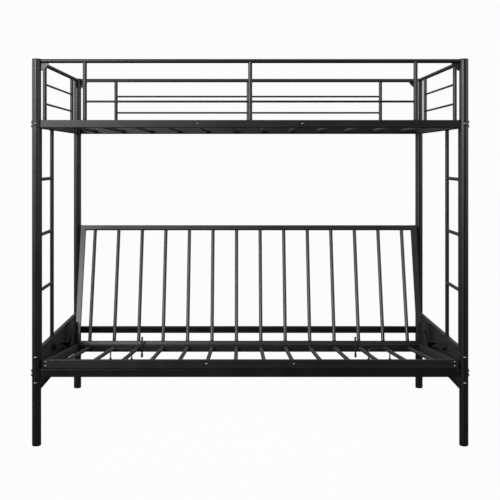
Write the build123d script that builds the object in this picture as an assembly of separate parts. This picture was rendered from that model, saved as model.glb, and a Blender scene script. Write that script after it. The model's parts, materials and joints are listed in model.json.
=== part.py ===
from build123d import *
import math
import os

# Twin-over-full futon bunk bed: a bare welded and bolted steel tube frame.
# Millimetres. X runs along the bed, the front faces -Y, Z is up from the floor.
# The origin is on the floor at the middle of the four posts.

# Posts
POST_DIAMETER = 41.0
POST_WALL = 1.5
POST_SPACING_X = 1940.0
POST_SPACING_Y = 1012.0
BED_HEIGHT = 1755.0
CAP_HEIGHT = 5.0
CAP_WALL = 2.0
CAP_PLUG_DEPTH = 22.0
CAP_EDGE_RADIUS = 2.0

# Rectangular tube of the side rails, end rails and stretchers
RAIL_HEIGHT = 36.0
RAIL_WIDTH = 25.0
RAIL_WALL = 1.5
RAIL_CORNER = 3.0
RAIL_END_PLATE = 4.0
UPPER_RAIL_DROP = 296.0
STRETCHER_LEVEL = 330.0

# Upper slats
SLAT_DIAMETER = 19.0
SLAT_WALL = 1.2
UPPER_SLAT_COUNT = 12
UPPER_SLAT_END_SPACE = 98.25
UPPER_BOLTED_SLAT = 1

# Guards round the upper bunk
GUARD_TUBE = 19.0
GUARD_WALL = 1.2
GUARD_ROD = 10.0
GUARD_TOP_DROP = 10.5
GUARD_UPPER_MID_DROP = 102.0
GUARD_LOWER_MID_DROP = 194.0
SIDE_UPRIGHT_SETBACK = 219.0
END_UPRIGHT_SETBACK = 169.0
GUSSET_SIDE = 34.0
GUSSET_THICKNESS = 2.5
GUSSET_NOSE = 6.0

# Ladders, one behind each front post
LADDER_TUBE = 19.0
LADDER_WALL = 1.2
RUNG_DIAMETER = 16.0
LADDER_FRONT_SETBACK = 46.0
LADDER_WIDTH = 258.0
LADDER_INSET = 5.0
LOWEST_RUNG_RISE = 259.5
TOP_RUNG_DROP = 253.0
RUNG_COUNT = 3
LADDER_FOOT_LENGTH = 34.0
LADDER_FOOT_WIDTH = 17.0
LADDER_FOOT_PLATE = 2.5

# Pressed side panels that join the lower posts
PANEL_HEIGHT = 186.0
PANEL_LEVEL = 343.5
PANEL_SHEET = 1.5
PANEL_FLANGE = 21.0
PANEL_OUTSET = 6.0
PANEL_BEND_RADIUS = 4.0
PANEL_END_WIDTH = 30.0
PANEL_END_PLATE = 3.0

# Bolts with low domed heads
BOLT_DIAMETER = 8.0
BOLT_HOLE_PLAY = 0.3
BOLT_HEAD_DIAMETER = 15.0
BOLT_HEAD_HEIGHT = 5.0
RAIL_BOLT_SPREAD = 18.6
PANEL_BOLT_SPREAD = 116.0
SMALL_BOLT_DIAMETER = 6.0
SMALL_HEAD_DIAMETER = 11.0
SMALL_HEAD_HEIGHT = 3.0

# Futon frame tubes
SEAT_RAIL_HEIGHT = 38.0
SEAT_RAIL_WIDTH = 25.0
BACK_TUBE = 25.0
FUTON_WALL = 1.5
FUTON_CORNER = 3.0
FUTON_SIDE_ROOM = 16.5
SEAT_LENGTH = 762.5
BACK_REACH = 6.25
FUTON_SLAT_COUNT = 14
FUTON_SLAT_END_SPACE = 79.0
SEAT_BOLTED_SLAT = 1
END_TAB_THICKNESS = 3.0
END_TAB_BOLT_SPREAD = 19.0

# Futon hinge and the way that the frame moves
HINGE_BEHIND_SEAT = 15.5
HINGE_ABOVE_RAIL = 4.0
HINGE_TO_BACK_RAIL = 19.0
HINGE_PIN = 10.0
HINGE_HEAD_DIAMETER = 12.0
HINGE_HEAD_HEIGHT = 3.0
RUNNING_PLAY = 0.05
SEAT_TILT = 6.7
BACK_ELEVATION = 72.8
SEAT_TRAVEL = 395.0
EAR_THICKNESS = 4.0
EAR_FOOT_LENGTH = 145.0
EAR_HEIGHT = 168.0
EAR_CREST = 46.0
EAR_FOLD = 9.0
EAR_REAR_MARGIN = 13.0
EAR_FOLD_SHEET = 2.0
STOP_PEG = 8.0
STOP_PEG_REACH = 10.0
peg_height_share = 0.55
fold_top_share = 0.86
EAR_CORNER = 14.0

# Glide and the guide track on each side panel
GLIDE_DIAMETER = 20.0
GLIDE_LENGTH = 18.0
TRACK_PLAY = 0.5
TRACK_WALL = 4.0
TRACK_WEB = 2.5
TRACK_DEPTH = 21.0
TRACK_END_PLAY = 1.0

# Saddles that the seat rails slide and rock on
SADDLE_PIN = 6.0
SADDLE_PIN_SETBACK = 24.0
SADDLE_FACE_RADIUS = 8.0
SADDLE_LENGTH = 18.0
SADDLE_WIDTH = 21.0
SADDLE_CLEARANCE = 1.0
BRACKET_SHEET = 2.0
SLIDING_GAP = 0.3

# Small fittings
HOOP_INSET = 351.0
HOOP_WIDTH = 96.0
HOOP_HEIGHT = 48.0
HOOP_ROD = 6.0
HOOP_BEND = 16.0
COLLAR_DIAMETER = 12.0
COLLAR_HEIGHT = 5.0
CLIP_INSET = 367.0
CLIP_ROD = 5.0
CLIP_ABOVE_RAIL = 38.0
CLIP_BELOW_RAIL = 22.0
CLIP_HOOK = 9.0
TIP_DIAMETER = 8.0
TIP_LENGTH = 16.0
PAD_DIAMETER = 22.0
WELD_GAP = 0.15
OVERRUN = 2.0

# Places worked out from the sizes above
post_radius = POST_DIAMETER / 2
post_x = POST_SPACING_X / 2
post_y = POST_SPACING_Y / 2
inner_x = post_x - post_radius
inner_y = post_y - post_radius
upper_rail_level = BED_HEIGHT - UPPER_RAIL_DROP
rail_underside = upper_rail_level - RAIL_HEIGHT / 2
stretcher_top = STRETCHER_LEVEL + RAIL_HEIGHT / 2
panel_top = PANEL_LEVEL + PANEL_HEIGHT / 2
panel_face_x = post_x + PANEL_OUTSET
guard_radius = GUARD_TUBE / 2
guard_cope = GUARD_TUBE + 2 * WELD_GAP
guard_top_level = BED_HEIGHT - GUARD_TOP_DROP
guard_mid_levels = (BED_HEIGHT - GUARD_LOWER_MID_DROP, BED_HEIGHT - GUARD_UPPER_MID_DROP)
side_upright_offset = post_x - SIDE_UPRIGHT_SETBACK
end_upright_offset = post_y - END_UPRIGHT_SETBACK
small_hole = SMALL_BOLT_DIAMETER + 2 * BOLT_HOLE_PLAY
futon_half_width = panel_face_x - PANEL_SHEET - TRACK_DEPTH - FUTON_SIDE_ROOM
seat_rail_x = futon_half_width - SEAT_RAIL_WIDTH / 2
hoop_x = futon_half_width - HOOP_INSET
clip_x = futon_half_width - CLIP_INSET
SIDES = (-1, 1)


def direction_plane(start, end, x_dir=None):
    """A plane at start whose normal points to end."""
    start = Vector(*start)
    normal = Vector(*end) - start
    if x_dir is None:
        return Plane(origin=start, z_dir=normal)
    return Plane(origin=start, x_dir=x_dir, z_dir=normal)


def run_length(start, end):
    return (Vector(*end) - Vector(*start)).length


def round_bar(start, end, diameter):
    section = direction_plane(start, end) * Circle(diameter / 2)
    return extrude(section, amount=run_length(start, end))


def round_tube(start, end, diameter, wall):
    section = Circle(diameter / 2) - Circle(diameter / 2 - wall)
    return extrude(direction_plane(start, end) * section, amount=run_length(start, end))


def box_tube(start, end, width, height, wall, corner, x_dir=(0, 0, 1)):
    """A rectangular tube with rounded corners: height lies along x_dir."""
    outer = RectangleRounded(height, width, corner)
    inner = RectangleRounded(height - 2 * wall, width - 2 * wall, corner - wall)
    plane = direction_plane(start, end, x_dir)
    return extrude(plane * (outer - inner), amount=run_length(start, end))


def block(corner_a, corner_b):
    """A box between two opposite corners."""
    low = [min(a, b) for a, b in zip(corner_a, corner_b)]
    size = [abs(a - b) for a, b in zip(corner_a, corner_b)]
    return Pos(*low) * Box(*size, align=(Align.MIN, Align.MIN, Align.MIN))


def drilled(shape, start, end, diameter):
    """The shape with a round hole through it from start to end."""
    return shape - round_bar(start, end, diameter)


def domed_bolt(seat_point, outward, diameter, head_diameter, head_height, grip):
    """A bolt whose head sits on seat_point: outward is the way that the head stands out."""
    head_radius = head_diameter / 2
    dome_radius = (head_radius**2 + head_height**2) / (2 * head_height)
    half_angle = math.asin(head_radius / dome_radius) / 2
    dome_middle = (
        dome_radius * math.sin(half_angle),
        head_height - dome_radius + dome_radius * math.cos(half_angle),
    )
    radius = diameter / 2
    shank = Polyline((0, head_height), (0, -grip), (radius, -grip), (radius, 0), (head_radius, 0))
    dome = ThreePointArc((head_radius, 0), dome_middle, (0, head_height))
    bolt = revolve(Plane.XZ * make_face(shank + dome), axis=Axis.Z)
    return Plane(origin=seat_point, z_dir=outward) * bolt


def frame_bolt(seat_point, outward):
    """A bolt through a post into the drilled end plate of the member behind it."""
    grip = POST_DIAMETER + WELD_GAP + PANEL_END_PLATE
    return domed_bolt(seat_point, outward, BOLT_DIAMETER, BOLT_HEAD_DIAMETER, BOLT_HEAD_HEIGHT, grip)


def small_bolt(seat_point, outward, grip):
    return domed_bolt(seat_point, outward, SMALL_BOLT_DIAMETER, SMALL_HEAD_DIAMETER, SMALL_HEAD_HEIGHT, grip)


def save(shapes, node):
    """Write one node: a single solid, or a group of separate solids."""
    group = shapes if isinstance(shapes, list) else [shapes]
    solids = [solid for shape in group for solid in shape.solids()]
    shape = solids[0] if len(solids) == 1 else Compound(children=solids)
    export_step(shape, f"parts/{node}.step")
    print(node, len(solids), "solids")


def side_name(side):
    return "left" if side < 0 else "right"


# Bolt places on the posts
def end_bolt_heights(level, spread):
    return [level - spread / 2, level + spread / 2]


long_bolt_heights = end_bolt_heights(upper_rail_level, RAIL_BOLT_SPREAD) + end_bolt_heights(
    STRETCHER_LEVEL, RAIL_BOLT_SPREAD
)
cross_bolt_heights = [upper_rail_level] + end_bolt_heights(PANEL_LEVEL, PANEL_BOLT_SPREAD)


def post(side_x, side_y):
    """A round post, drilled for the rails' bolts along X and the end members' bolts along Y."""
    x, y = side_x * post_x, side_y * post_y
    tube = round_tube((x, y, CAP_HEIGHT), (x, y, BED_HEIGHT - CAP_HEIGHT), POST_DIAMETER, POST_WALL)
    hole = BOLT_DIAMETER + 2 * BOLT_HOLE_PLAY
    reach = post_radius + OVERRUN
    for level in long_bolt_heights:
        tube -= round_bar((x - reach, y, level), (x + reach, y, level), hole)
    for level in cross_bolt_heights:
        tube -= round_bar((x, y - reach, level), (x, y + reach, level), hole)
    return tube


def post_cap(x, y, upwards):
    """A moulded plug: a flat cap as wide as the post, on a hollow stem that fits inside it."""
    stem_radius = post_radius - POST_WALL - SLIDING_GAP
    profile = Polyline(
        (0, 0),
        (post_radius - CAP_EDGE_RADIUS, 0),
        (post_radius, CAP_EDGE_RADIUS),
        (post_radius, CAP_HEIGHT),
        (stem_radius, CAP_HEIGHT),
        (stem_radius, CAP_HEIGHT + CAP_PLUG_DEPTH),
        (stem_radius - CAP_WALL, CAP_HEIGHT + CAP_PLUG_DEPTH),
        (stem_radius - CAP_WALL, CAP_WALL),
        (0, CAP_WALL),
        (0, 0),
    )
    cap = revolve(Plane.XZ * make_face(profile), axis=Axis.Z)
    if upwards:
        return Pos(x, y, 0) * cap
    return Pos(x, y, BED_HEIGHT) * (Rot(180, 0, 0) * cap)


def end_plate(centre, outward, tube_height, tube_width, wall, thickness):
    """A plate welded inside the end of a tube: centre is on its outer face."""
    section = RectangleRounded(tube_height - wall, tube_width - wall, RAIL_CORNER)
    return extrude(Plane(origin=centre, x_dir=(0, 0, 1), z_dir=outward) * section, amount=-thickness)


def long_rail(side_y, level, bolted_slats):
    """A rail from post to post along X, with a drilled plate welded in each end."""
    y = side_y * post_y
    end_x = inner_x - WELD_GAP
    rail = box_tube((-end_x, y, level), (end_x, y, level), RAIL_WIDTH, RAIL_HEIGHT, RAIL_WALL, RAIL_CORNER)
    for side in SIDES:
        centre = (side * end_x, y, level)
        plate = end_plate(centre, (side, 0, 0), RAIL_HEIGHT, RAIL_WIDTH, RAIL_WALL, RAIL_END_PLATE)
        for hole_level in end_bolt_heights(level, RAIL_BOLT_SPREAD):
            start = (side * (end_x + OVERRUN), y, hole_level)
            end = (side * (end_x - RAIL_END_PLATE - OVERRUN), y, hole_level)
            plate = drilled(plate, start, end, BOLT_DIAMETER + 2 * BOLT_HOLE_PLAY)
        rail += plate
    for x in bolted_slats:
        rail = drilled(rail, (x, y - RAIL_WIDTH, level), (x, y + RAIL_WIDTH, level), small_hole)
    return rail


def cross_rail(side_x, level):
    """A rail from front post to back post along Y, with a drilled plate welded in each end."""
    x = side_x * post_x
    end_y = inner_y - WELD_GAP
    rail = box_tube((x, -end_y, level), (x, end_y, level), RAIL_WIDTH, RAIL_HEIGHT, RAIL_WALL, RAIL_CORNER)
    for side in SIDES:
        centre = (x, side * end_y, level)
        plate = end_plate(centre, (0, side, 0), RAIL_HEIGHT, RAIL_WIDTH, RAIL_WALL, RAIL_END_PLATE)
        start = (x, side * (end_y + OVERRUN), level)
        end = (x, side * (end_y - RAIL_END_PLATE - OVERRUN), level)
        rail += drilled(plate, start, end, BOLT_DIAMETER + 2 * BOLT_HOLE_PLAY)
    return rail


def post_bolts(heights, axis):
    """Bolts through the four posts, heads outwards, along X or along Y."""
    bolts = []
    for side_x in SIDES:
        for side_y in SIDES:
            for level in heights:
                x, y = side_x * post_x, side_y * post_y
                if axis == "x":
                    bolts.append(frame_bolt((x + side_x * post_radius, y, level), (side_x, 0, 0)))
                else:
                    bolts.append(frame_bolt((x, y + side_y * post_radius, level), (0, side_y, 0)))
    return bolts


def even_places(count, first, last):
    """Places from first to last, evenly spaced."""
    return [first + (last - first) * index / (count - 1) for index in range(count)]


upper_slat_reach = post_x - UPPER_SLAT_END_SPACE
upper_slat_places = even_places(UPPER_SLAT_COUNT, -upper_slat_reach, upper_slat_reach)
bolted_slat_x = upper_slat_places[UPPER_SLAT_COUNT // 2 + UPPER_BOLTED_SLAT]


def upper_slats():
    """Round slats between the inner faces of the two long rails."""
    end_y = post_y - RAIL_WIDTH / 2 - WELD_GAP
    return [
        round_tube((x, -end_y, upper_rail_level), (x, end_y, upper_rail_level), SLAT_DIAMETER, SLAT_WALL)
        for x in upper_slat_places
    ]


def upper_slat_bolts():
    face_y = post_y + RAIL_WIDTH / 2
    grip = RAIL_WIDTH + SLAT_DIAMETER / 2
    return [
        small_bolt((side_x * bolted_slat_x, side_y * face_y, upper_rail_level), (0, side_y, 0), grip)
        for side_x in SIDES
        for side_y in SIDES
    ]


def side_guard(side_y):
    """Front or back guard: a top rail between the posts, three uprights and two mid rails."""
    y = side_y * post_y
    end_x = inner_x - WELD_GAP
    top = round_tube((-end_x, y, guard_top_level), (end_x, y, guard_top_level), GUARD_TUBE, GUARD_WALL)
    upright_places = (-side_upright_offset, 0, side_upright_offset)
    foot = upper_rail_level + RAIL_HEIGHT / 2 + WELD_GAP
    uprights = []
    for x in upright_places:
        upright = round_tube((x, y, foot), (x, y, guard_top_level), GUARD_TUBE, GUARD_WALL)
        cope_start, cope_end = (x - GUARD_TUBE, y, guard_top_level), (x + GUARD_TUBE, y, guard_top_level)
        uprights.append(upright - round_bar(cope_start, cope_end, guard_cope))
    mids = []
    for level in guard_mid_levels:
        for start, end in zip(upright_places, upright_places[1:]):
            rod = round_bar((start, y, level), (end, y, level), GUARD_ROD)
            for x in (start, end):
                rod -= round_bar((x, y, level - GUARD_ROD), (x, y, level + GUARD_ROD), guard_cope)
            mids.append(rod)
    return top, uprights, mids


def end_guard(side_x):
    """Guard over an end rail: a top rail between the posts, two uprights and two mid rails."""
    x = side_x * post_x
    end_y = inner_y - WELD_GAP
    top = round_tube((x, -end_y, guard_top_level), (x, end_y, guard_top_level), GUARD_TUBE, GUARD_WALL)
    upright_places = (-end_upright_offset, end_upright_offset)
    foot = upper_rail_level + RAIL_HEIGHT / 2 + WELD_GAP
    uprights = []
    for y in upright_places:
        upright = round_tube((x, y, foot), (x, y, guard_top_level), GUARD_TUBE, GUARD_WALL)
        cope_start, cope_end = (x, y - GUARD_TUBE, guard_top_level), (x, y + GUARD_TUBE, guard_top_level)
        uprights.append(upright - round_bar(cope_start, cope_end, guard_cope))
    mids = []
    for level in guard_mid_levels:
        rod = round_bar((x, upright_places[0], level), (x, upright_places[1], level), GUARD_ROD)
        for y in upright_places:
            rod -= round_bar((x, y, level - GUARD_ROD), (x, y, level + GUARD_ROD), guard_cope)
        mids.append(rod)
    return top, uprights, mids


def corner_gusset(side_x, side_y, along_x):
    """A small triangular web under a guard's top rail, against its post."""
    seat = post_radius + WELD_GAP
    ceiling = guard_top_level - guard_radius - WELD_GAP
    outline = make_face(
        Polyline(
            (seat, ceiling),
            (seat + GUSSET_SIDE, ceiling),
            (seat + GUSSET_SIDE, ceiling - GUSSET_NOSE),
            (seat + GUSSET_NOSE, ceiling - GUSSET_SIDE),
            (seat, ceiling - GUSSET_SIDE),
            (seat, ceiling),
        )
    )
    x, y = side_x * post_x, side_y * post_y
    if along_x:
        plane = Plane(origin=(x, y, 0), x_dir=(-side_x, 0, 0), z_dir=(0, side_x, 0))
    else:
        plane = Plane(origin=(x, y, 0), x_dir=(0, -side_y, 0), z_dir=(-side_y, 0, 0))
    return extrude(plane * outline, amount=GUSSET_THICKNESS / 2, both=True)


# Ladder places
ladder_x = post_x - LADDER_INSET
ladder_front_y = -post_y + LADDER_FRONT_SETBACK
ladder_rail_places = (ladder_front_y, ladder_front_y + LADDER_WIDTH)
rung_levels = even_places(RUNG_COUNT, panel_top + LOWEST_RUNG_RISE, upper_rail_level - TOP_RUNG_DROP)


def ladder_rails(side_x):
    """The two upright rails of a ladder, each on a flat foot that bolts to the side panel."""
    x = side_x * ladder_x
    foot_level = panel_top + WELD_GAP
    head_level = rail_underside - WELD_GAP
    rails = []
    for y in ladder_rail_places:
        rail = round_tube((x, y, foot_level), (x, y, head_level), LADDER_TUBE, LADDER_WALL)
        for level in (foot_level, head_level - LADDER_FOOT_PLATE):
            rail += block(
                (x - LADDER_FOOT_WIDTH / 2, y - LADDER_FOOT_LENGTH / 2, level),
                (x + LADDER_FOOT_WIDTH / 2, y + LADDER_FOOT_LENGTH / 2, level + LADDER_FOOT_PLATE),
            )
        rails.append(rail)
    return rails


def ladder_rungs(side_x):
    x = side_x * ladder_x
    start_y, end_y = ladder_rail_places
    rungs = []
    for level in rung_levels:
        rung = round_tube((x, start_y, level), (x, end_y, level), RUNG_DIAMETER, LADDER_WALL)
        for y in ladder_rail_places:
            rung -= round_bar(
                (x, y, level - RUNG_DIAMETER), (x, y, level + RUNG_DIAMETER), LADDER_TUBE + 2 * WELD_GAP
            )
        rungs.append(rung)
    return rungs


# The seat's own frame: u runs to the rear along the rails, v is up from their underside.
pivot_y = -post_y + SADDLE_PIN_SETBACK
pivot_z = stretcher_top + SADDLE_CLEARANCE - SADDLE_FACE_RADIUS
tilt = math.radians(SEAT_TILT)
seat_front_y = -post_y - post_radius - BOLT_HEAD_HEIGHT + END_TAB_THICKNESS + SMALL_HEAD_HEIGHT
pivot_reach = (pivot_y + SADDLE_FACE_RADIUS * math.sin(tilt) - seat_front_y) / math.cos(tilt)
hinge_u = SEAT_LENGTH + HINGE_BEHIND_SEAT
hinge_v = SEAT_RAIL_HEIGHT / 2 + HINGE_ABOVE_RAIL


def seat_point(u, v, slide=0.0):
    """Y and Z of a point of the seat frame, after the seat has come forward by slide."""
    angle = tilt * (1 - slide / SEAT_TRAVEL)
    along = u - pivot_reach - slide
    lift = v + SADDLE_FACE_RADIUS
    return (
        pivot_y + along * math.cos(angle) + lift * math.sin(angle),
        pivot_z - along * math.sin(angle) + lift * math.cos(angle),
    )


seat_origin_y, seat_origin_z = seat_point(0, 0)
seat_plane = Plane(
    origin=(0, seat_origin_y, seat_origin_z), x_dir=(1, 0, 0), z_dir=(0, math.sin(tilt), math.cos(tilt))
)
hinge_y, hinge_z = seat_point(hinge_u, hinge_v)
elevation = math.radians(BACK_ELEVATION)
back_plane = Plane(
    origin=(0, hinge_y, hinge_z), x_dir=(1, 0, 0), z_dir=(0, -math.sin(elevation), math.cos(elevation))
)

# Guide track: an arc through three places of the hinge axis
track_low = seat_point(hinge_u, hinge_v)
track_middle = seat_point(hinge_u, hinge_v, SEAT_TRAVEL / 2)
track_high = seat_point(hinge_u, hinge_v, SEAT_TRAVEL)


def side_panel(side_x):
    """A pressed channel: a sheet with flanges folded inwards, and a drilled plate at each end."""
    half = PANEL_HEIGHT / 2
    end_y = inner_y - WELD_GAP
    outer = RectangleRounded(PANEL_FLANGE * 2, PANEL_HEIGHT, PANEL_BEND_RADIUS)
    inner = RectangleRounded(
        (PANEL_FLANGE - PANEL_SHEET) * 2, PANEL_HEIGHT - 2 * PANEL_SHEET, PANEL_BEND_RADIUS - PANEL_SHEET
    )
    keep = Pos(-PANEL_FLANGE / 2, 0) * Rectangle(PANEL_FLANGE, PANEL_HEIGHT)
    flange_tip = (side_x * (panel_face_x - PANEL_FLANGE), -end_y, PANEL_LEVEL)
    plane = Plane(origin=flange_tip, x_dir=(-side_x, 0, 0), z_dir=(0, 1, 0))
    panel = extrude(plane * ((outer - inner) & keep), amount=2 * end_y)
    hole = BOLT_DIAMETER + 2 * BOLT_HOLE_PLAY
    for side_y in SIDES:
        face_y = side_y * end_y
        plate = block(
            (side_x * (post_x - PANEL_END_WIDTH / 2), face_y, PANEL_LEVEL - half + PANEL_SHEET),
            (
                side_x * (panel_face_x - PANEL_SHEET),
                face_y - side_y * PANEL_END_PLATE,
                PANEL_LEVEL + half - PANEL_SHEET,
            ),
        )
        for level in end_bolt_heights(PANEL_LEVEL, PANEL_BOLT_SPREAD):
            plate -= round_bar(
                (side_x * post_x, face_y + side_y * OVERRUN, level),
                (side_x * post_x, face_y - side_y * (PANEL_END_PLATE + OVERRUN), level),
                hole,
            )
        panel += plate
    return panel


def guide_track(side_x):
    """A moulded channel with an arched groove, closed at both ends, on the panel's inner face."""
    back_x = panel_face_x - PANEL_SHEET
    groove = GLIDE_DIAMETER + 2 * TRACK_PLAY
    path = ThreePointArc(track_low, track_middle, track_high)
    body = SlotArc(path, groove + 2 * TRACK_WALL)
    channel = SlotArc(path, groove)
    plane = Plane(origin=(side_x * back_x, 0, 0), x_dir=(0, 1, 0), z_dir=(1, 0, 0))
    track = extrude(plane * body, amount=-side_x * TRACK_DEPTH)
    return track - extrude(Pos(-side_x * TRACK_WEB, 0, 0) * (plane * channel), amount=-side_x * TRACK_DEPTH)


def saddle_places():
    return [side * seat_rail_x for side in SIDES]


def saddle_bracket(x):
    """A folded clevis on the rear face of the front stretcher, with a cheek each side of the saddle."""
    face_y = -post_y + RAIL_WIDTH / 2 + WELD_GAP
    inner = SADDLE_WIDTH / 2 + SLIDING_GAP
    outer = inner + BRACKET_SHEET
    low_z = pivot_z - SADDLE_FACE_RADIUS - SADDLE_PIN
    bracket = block((x - outer, face_y, low_z), (x + outer, face_y + BRACKET_SHEET, pivot_z))
    for side in SIDES:
        cheek_foot = (x + side * inner, face_y, low_z)
        cheek_head = (x + side * outer, pivot_y + SADDLE_PIN, pivot_z + SADDLE_PIN)
        bracket += block(cheek_foot, cheek_head)
    start, end = (x - outer - OVERRUN, pivot_y, pivot_z), (x + outer + OVERRUN, pivot_y, pivot_z)
    return drilled(bracket, start, end, SADDLE_PIN + 2 * WELD_GAP)


def saddle_pin(x):
    reach_x = SADDLE_WIDTH / 2 + SLIDING_GAP + BRACKET_SHEET
    return round_bar((x - reach_x, pivot_y, pivot_z), (x + reach_x, pivot_y, pivot_z), SADDLE_PIN)


def rail_saddle(x):
    """A nylon block that rocks on its pin: its flat top carries the underside of a seat rail."""
    plane = Plane(
        origin=(x, pivot_y, pivot_z), x_dir=(1, 0, 0), z_dir=(0, math.sin(tilt), math.cos(tilt))
    )
    top = SADDLE_FACE_RADIUS - SLIDING_GAP
    profile = make_face(
        Polyline(
            (-SADDLE_LENGTH / 2, top),
            (SADDLE_LENGTH / 2, top),
            (SADDLE_LENGTH / 2, top - SADDLE_PIN / 2),
            (SADDLE_PIN, -SADDLE_PIN / 2),
        )
        + ThreePointArc((SADDLE_PIN, -SADDLE_PIN / 2), (0, -SADDLE_PIN), (-SADDLE_PIN, -SADDLE_PIN / 2))
        + Polyline(
            (-SADDLE_PIN, -SADDLE_PIN / 2),
            (-SADDLE_LENGTH / 2, top - SADDLE_PIN / 2),
            (-SADDLE_LENGTH / 2, top),
        )
    )
    side_plane = Plane(origin=(0, 0, 0), x_dir=(0, 1, 0), z_dir=(1, 0, 0))
    saddle = extrude(side_plane * profile, amount=SADDLE_WIDTH / 2, both=True)
    saddle -= round_bar((-SADDLE_WIDTH, 0, 0), (SADDLE_WIDTH, 0, 0), SADDLE_PIN + 2 * RUNNING_PLAY)
    return plane * saddle


def seat_tube(start, end):
    return box_tube(start, end, SEAT_RAIL_WIDTH, SEAT_RAIL_HEIGHT, FUTON_WALL, FUTON_CORNER)


# The front rail hangs below the side rails until it almost meets the front stretcher
front_rail_drop = (seat_point(SEAT_RAIL_WIDTH, 0)[1] - stretcher_top - SLIDING_GAP) / math.cos(tilt)


def seat_cross_rail(u_centre, drop=0.0):
    """The seat's front or rear rail, drilled for two slats' bolts: drop is its depth below the side rails."""
    end_x = futon_half_width - SEAT_RAIL_WIDTH - WELD_GAP
    middle_v = (SEAT_RAIL_HEIGHT - drop) / 2
    start, end = (-end_x, u_centre, middle_v), (end_x, u_centre, middle_v)
    rail = box_tube(start, end, SEAT_RAIL_WIDTH, SEAT_RAIL_HEIGHT + drop, FUTON_WALL, FUTON_CORNER)
    v = SEAT_RAIL_HEIGHT / 2
    for side in SIDES:
        x = side * seat_bolted_x
        start, end = (x, u_centre - SEAT_RAIL_WIDTH, v), (x, u_centre + SEAT_RAIL_WIDTH, v)
        rail = drilled(rail, start, end, small_hole)
    return seat_plane * rail


def seat_side_rail(side_x):
    """A side rail of the seat, closed at both ends and drilled at its front end."""
    v = SEAT_RAIL_HEIGHT / 2
    x = side_x * seat_rail_x
    rail = seat_tube((x, 0, v), (x, SEAT_LENGTH, v))
    for u, outward in ((0, -1), (SEAT_LENGTH, 1)):
        centre = (x, u, v)
        rail += end_plate(centre, (0, outward, 0), SEAT_RAIL_HEIGHT, SEAT_RAIL_WIDTH, FUTON_WALL, FUTON_WALL)
    for level in end_bolt_heights(v, END_TAB_BOLT_SPREAD):
        rail = drilled(rail, (x, -OVERRUN, level), (x, FUTON_WALL + OVERRUN, level), small_hole)
    return seat_plane * rail


futon_slat_reach = futon_half_width - FUTON_SLAT_END_SPACE
futon_slat_places = even_places(FUTON_SLAT_COUNT, -futon_slat_reach, futon_slat_reach)
seat_bolted_x = futon_slat_places[FUTON_SLAT_COUNT // 2 + SEAT_BOLTED_SLAT]


def seat_slats():
    start = SEAT_RAIL_WIDTH + WELD_GAP
    end = SEAT_LENGTH - SEAT_RAIL_WIDTH - WELD_GAP
    v = SEAT_RAIL_HEIGHT / 2
    return [
        seat_plane * round_tube((x, start, v), (x, end, v), SLAT_DIAMETER, SLAT_WALL)
        for x in futon_slat_places
    ]


def seat_end_tab(side_x):
    """A flat tab welded to the front rail that laps the front end of a side rail."""
    inner = futon_half_width - 2 * SEAT_RAIL_WIDTH
    x = side_x * seat_rail_x
    tab = block(
        (side_x * inner, -END_TAB_THICKNESS, FUTON_CORNER),
        (side_x * futon_half_width, -WELD_GAP, SEAT_RAIL_HEIGHT - FUTON_CORNER),
    )
    for v in end_bolt_heights(SEAT_RAIL_HEIGHT / 2, END_TAB_BOLT_SPREAD):
        tab = drilled(tab, (x, -END_TAB_THICKNESS - OVERRUN, v), (x, OVERRUN, v), small_hole)
    return seat_plane * tab


def seat_end_bolts():
    grip = END_TAB_THICKNESS + SEAT_RAIL_WIDTH / 2
    bolts = []
    for side in SIDES:
        for v in end_bolt_heights(SEAT_RAIL_HEIGHT / 2, END_TAB_BOLT_SPREAD):
            head = (side * seat_rail_x, -END_TAB_THICKNESS, v)
            bolts.append(seat_plane * small_bolt(head, (0, -1, 0), grip))
    return bolts


def seat_slat_bolts():
    bolts = []
    for side in SIDES:
        x = side * seat_bolted_x
        v = SEAT_RAIL_HEIGHT / 2
        grip = SEAT_RAIL_WIDTH + SLAT_DIAMETER / 2
        bolts.append(seat_plane * small_bolt((x, 0, v), (0, -1, 0), grip))
        bolts.append(seat_plane * small_bolt((x, SEAT_LENGTH, v), (0, 1, 0), grip))
    return bolts


def hinge_bar(side_x, inner_x, outer_x, diameter):
    """A round bar on the hinge axis, between two distances from the middle of the bed."""
    return round_bar((side_x * inner_x, hinge_u, hinge_v), (side_x * outer_x, hinge_u, hinge_v), diameter)


def hinge_ear(side_x):
    """A welded ear outside a seat rail: it rises in front of the back and holds the hinge pin."""
    front = hinge_u - EAR_FOOT_LENGTH + EAR_REAR_MARGIN
    rear = hinge_u + EAR_REAR_MARGIN
    crest_rear = hinge_u - EAR_CORNER
    outline = Polyline(
        (front, FUTON_CORNER),
        (rear, FUTON_CORNER),
        (rear, hinge_v + EAR_REAR_MARGIN),
        (crest_rear, EAR_HEIGHT),
        (crest_rear - EAR_CREST, EAR_HEIGHT),
        (front, SEAT_RAIL_HEIGHT),
        (front, FUTON_CORNER),
    )
    sheet = make_face(outline)
    sheet = fillet(sheet.vertices().sort_by(Axis.Y)[-2:], EAR_CORNER)
    plane = Plane(origin=(side_x * futon_half_width, 0, 0), x_dir=(0, 1, 0), z_dir=(1, 0, 0))
    ear = extrude(plane * sheet, amount=side_x * EAR_THICKNESS)
    fold_foot, crest = Vector(front, SEAT_RAIL_HEIGHT), Vector(crest_rear - EAR_CREST, EAR_HEIGHT)
    fold_head = fold_foot + (crest - fold_foot) * fold_top_share
    step = Vector(EAR_FOLD_SHEET, 0)
    fold = make_face(Polyline(fold_foot, fold_head, fold_head + step, fold_foot + step, fold_foot))
    ear += extrude(plane * fold, amount=side_x * EAR_FOLD)
    reach = 2 * EAR_THICKNESS
    ear -= hinge_bar(side_x, futon_half_width - reach, futon_half_width + reach, HINGE_PIN + 2 * RUNNING_PLAY)
    return seat_plane * ear


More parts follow.
